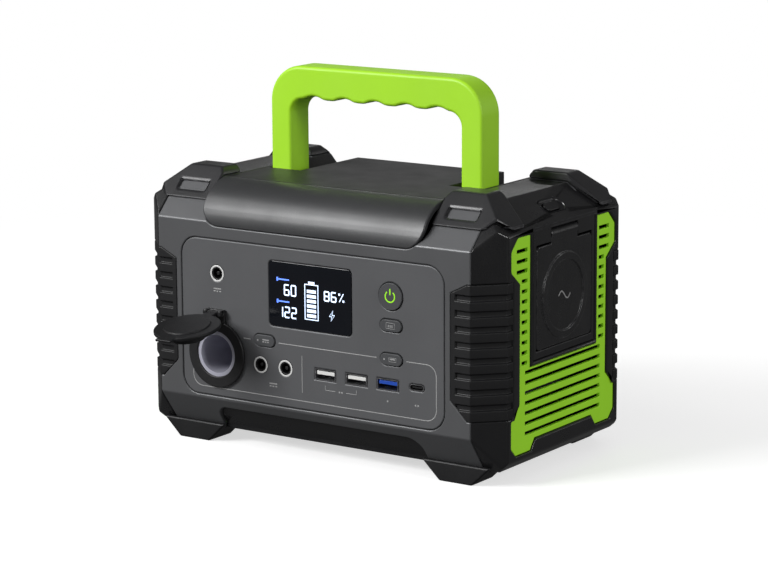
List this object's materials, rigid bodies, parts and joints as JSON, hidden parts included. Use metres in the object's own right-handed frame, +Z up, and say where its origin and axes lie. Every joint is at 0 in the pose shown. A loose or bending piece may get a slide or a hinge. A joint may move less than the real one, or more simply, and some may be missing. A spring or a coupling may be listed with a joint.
{
  "type": "power station",
  "caption": "Portable battery power station with a folding carry handle, front outlet panel and display, AC outlet under a flip cover, and rubber corner guards.",
  "frame": {"origin": "on the floor under the middle of the casing, in the plane of the feet", "axes": "+X to the right along the front panel, +Y from the front panel to the back, +Z up"},
  "size_m": [0.2283, 0.1871, 0.202],
  "materials": {
    "cover_grey": "satin",
    "panel_grey": "satin",
    "roll_dark": "semi-gloss",
    "deck_dark": "satin",
    "cap_black": "satin",
    "rubber_black": "matte",
    "guard_grey": "satin",
    "lime": "satin",
    "vent_green": "satin",
    "lid_black": "gloss",
    "socket_black": "satin",
    "barrel_steel": "brushed",
    "steel": "satin",
    "brass": "satin",
    "port_white": "gloss",
    "port_blue": "gloss",
    "button_grey": "matte",
    "screen_black": "gloss",
    "board_green": "satin",
    "module_white": "satin",
    "cell_sleeve": "satin",
    "holder_black": "matte",
    "nickel": "satin",
    "aluminium": "satin",
    "ferrite": "matte"
  },
  "bodies": {
    "casing": {"front_cover": "cover_grey", "rear_cover": "cover_grey", "control_panel": "panel_grey", "bottom_cover": "cap_black", "top_cover": "deck_dark", "front_roll": "roll_dark", "end_cap_right": "cap_black", "end_cap_left": "cap_black", "vent_grille_right": "vent_green", "vent_grille_left": "vent_green", "case_screws": "steel", "handle_pins": "steel", "display_window": "screen_black", "display_module": "module_white", "dc_in_jack": "socket_black", "dc_out_jack_left": "socket_black", "dc_out_jack_right": "socket_black", "usb_shells": "steel", "usb_tongues": "port_white", "usb_fast_tongue": "port_blue", "usb_c_shell": "steel", "usb_c_tongue": "socket_black", "tact_switches": "holder_black", "control_board": "board_green", "car_socket_barrel": "barrel_steel", "car_socket_contact": "brass", "car_socket_nut": "socket_black", "car_socket_ring": "socket_black", "ac_housing": "cap_black", "ac_cover_pin": "steel", "ac_receptacle": "socket_black", "ac_contacts": "brass", "battery_cells": "cell_sleeve", "cell_holders": "holder_black", "nickel_strips": "nickel", "inverter_board": "board_green", "transformer": "ferrite", "heatsink": "aluminium", "fan_frame": "holder_black", "bumper_front_right": "rubber_black", "guard_front_right": "guard_grey", "foot_front_right": "rubber_black", "bumper_front_left": "rubber_black", "guard_front_left": "guard_grey", "foot_front_left": "rubber_black", "bumper_rear_right": "rubber_black", "guard_rear_right": "guard_grey", "foot_rear_right": "rubber_black", "bumper_rear_left": "rubber_black", "guard_rear_left": "guard_grey", "foot_rear_left": "rubber_black"},
    "handle_body": {"handle": "lime"},
    "ac_cover_body": {"ac_cover": "lid_black"},
    "socket_cap_body": {"car_socket_cap": "rubber_black"},
    "power_button_body": {"power_button": "button_grey"},
    "display_button_body": {"display_button": "button_grey"},
    "dc_button_body": {"dc_button": "button_grey"},
    "usb_button_body": {"usb_button": "button_grey"},
    "ac_button_body": {"ac_button": "cap_black"},
    "fan_rotor_body": {"fan_rotor": "holder_black"}
  },
  "joints": [
    {"name": "handle_fold", "type": "hinge", "parent": "casing", "child": "handle_body", "pos_m": [0, 0, 0.1358], "axis": [-1, 0, 0], "range_deg": [0, 90]},
    {"name": "ac_cover_flip", "type": "hinge", "parent": "casing", "child": "ac_cover_body", "pos_m": [0.1109, 0, 0.1256], "axis": [0, -1, 0], "range_deg": [0, 100]},
    {"name": "socket_cap_flap", "type": "hinge", "parent": "casing", "child": "socket_cap_body", "pos_m": [-0.0607, -0.0732, 0.0755], "axis": [1, 0, 0], "range_deg": [-25, 80]},
    {"name": "power_press", "type": "slide", "parent": "casing", "child": "power_button_body", "axis": [0, 1, 0], "range_m": [0, 0.0008], "stiffness_N_per_m": 250, "springref_m": -0.002},
    {"name": "display_press", "type": "slide", "parent": "casing", "child": "display_button_body", "axis": [0, 1, 0], "range_m": [0, 0.0008], "stiffness_N_per_m": 250, "springref_m": -0.002},
    {"name": "dc_press", "type": "slide", "parent": "casing", "child": "dc_button_body", "axis": [0, 1, 0], "range_m": [0, 0.0008], "stiffness_N_per_m": 250, "springref_m": -0.002},
    {"name": "usb_press", "type": "slide", "parent": "casing", "child": "usb_button_body", "axis": [0, 1, 0], "range_m": [0, 0.0008], "stiffness_N_per_m": 250, "springref_m": -0.002},
    {"name": "ac_press", "type": "slide", "parent": "casing", "child": "ac_button_body", "axis": [-0.5932, 0, -0.8051], "range_m": [0, 0.0008], "stiffness_N_per_m": 250, "springref_m": -0.002},
    {"name": "fan_spin", "type": "hinge", "parent": "casing", "child": "fan_rotor_body", "pos_m": [-0.103, 0, 0.074], "axis": [1, 0, 0], "continuous": true}
  ]
}
